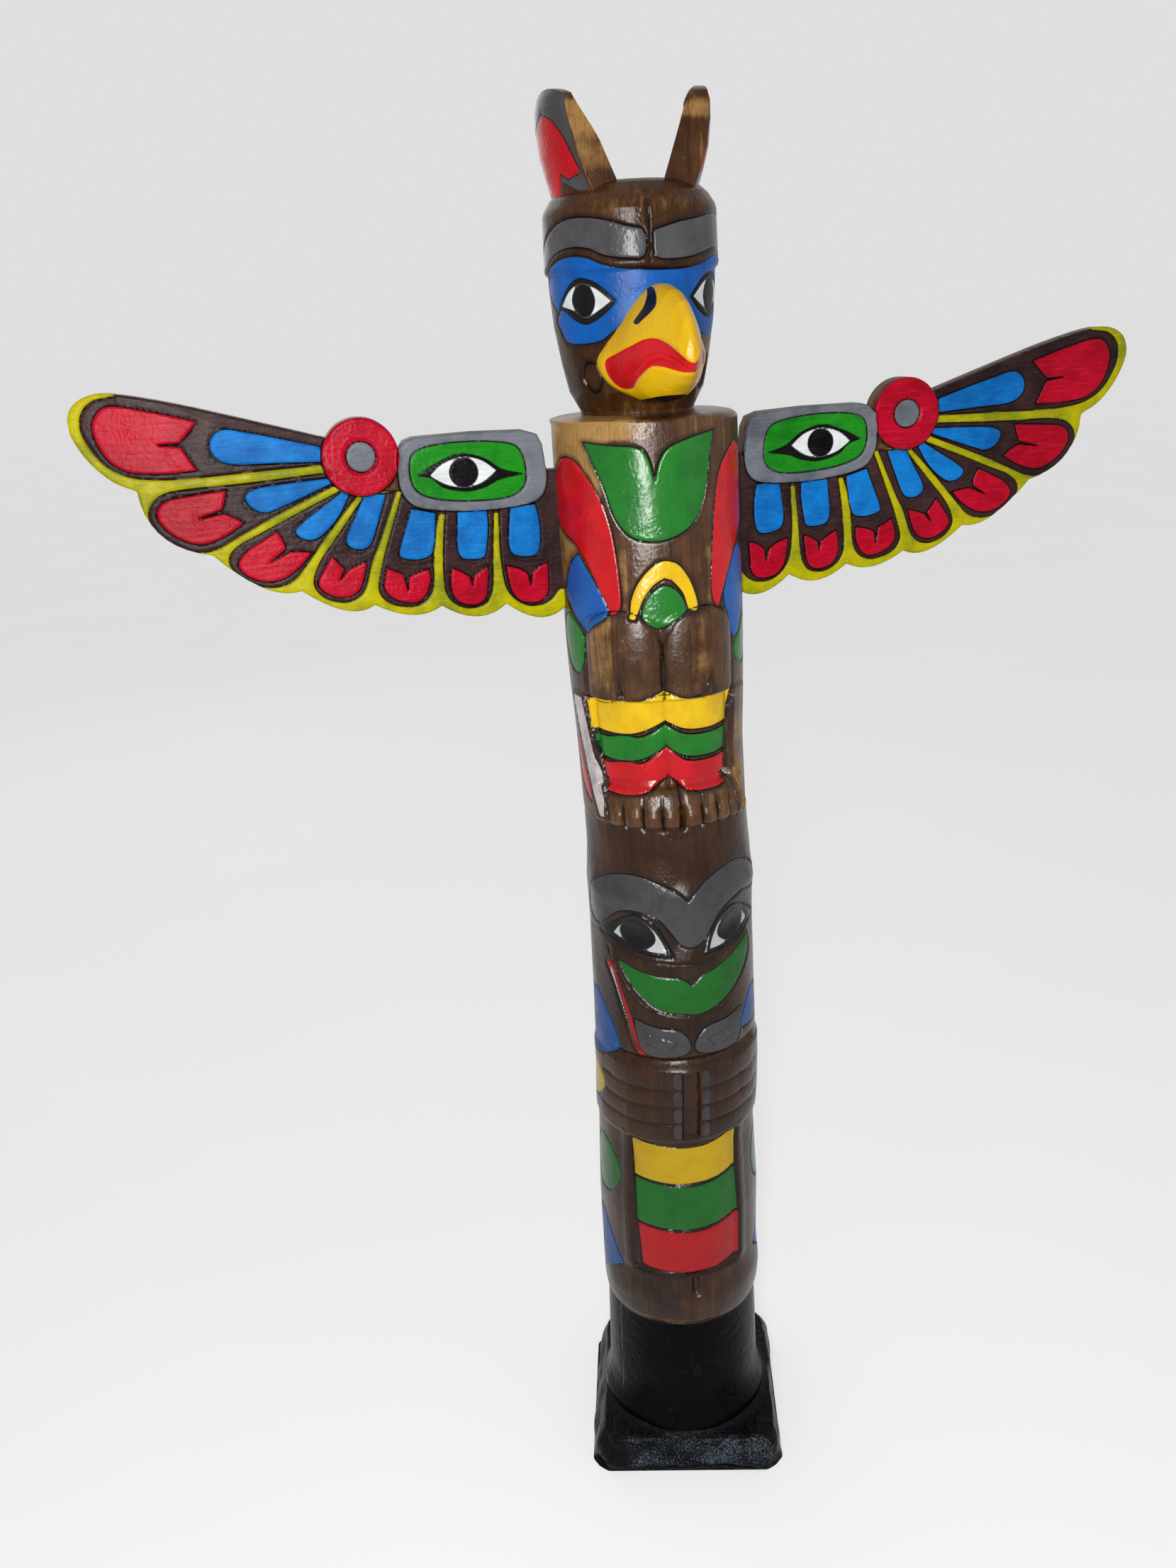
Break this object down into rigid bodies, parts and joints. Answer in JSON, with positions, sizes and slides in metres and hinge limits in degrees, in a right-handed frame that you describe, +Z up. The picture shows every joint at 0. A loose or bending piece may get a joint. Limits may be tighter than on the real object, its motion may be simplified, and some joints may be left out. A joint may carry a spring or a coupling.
{
  "type": "totem pole",
  "caption": "Carved, painted wooden totem pole of a winged, beaked bird standing on a lower figure, with a round black foot on a square black plinth; free-standing decoration.",
  "frame": {"origin": "centre of the plinth's underside", "axes": "+Z up the pole, the figures look along -Y, +X to the viewer's right"},
  "size_m": [0.7, 0.1904, 1],
  "materials": {
    "carved_pole": "stained brown wood with red, blue, green, yellow, grey, black and white enamel under gloss varnish",
    "beak": "carved wood in yellow and red enamel under gloss varnish",
    "wings": "dark stained board with red, blue, green, grey and olive yellow enamel under gloss varnish",
    "plinth": "hewn wood block in gloss black paint"
  },
  "bodies": {
    "root": {"carved_pole": "carved_pole", "beak": "beak", "left_wing": "wings", "right_wing": "wings", "plinth": "plinth"}
  },
  "joints": []
}
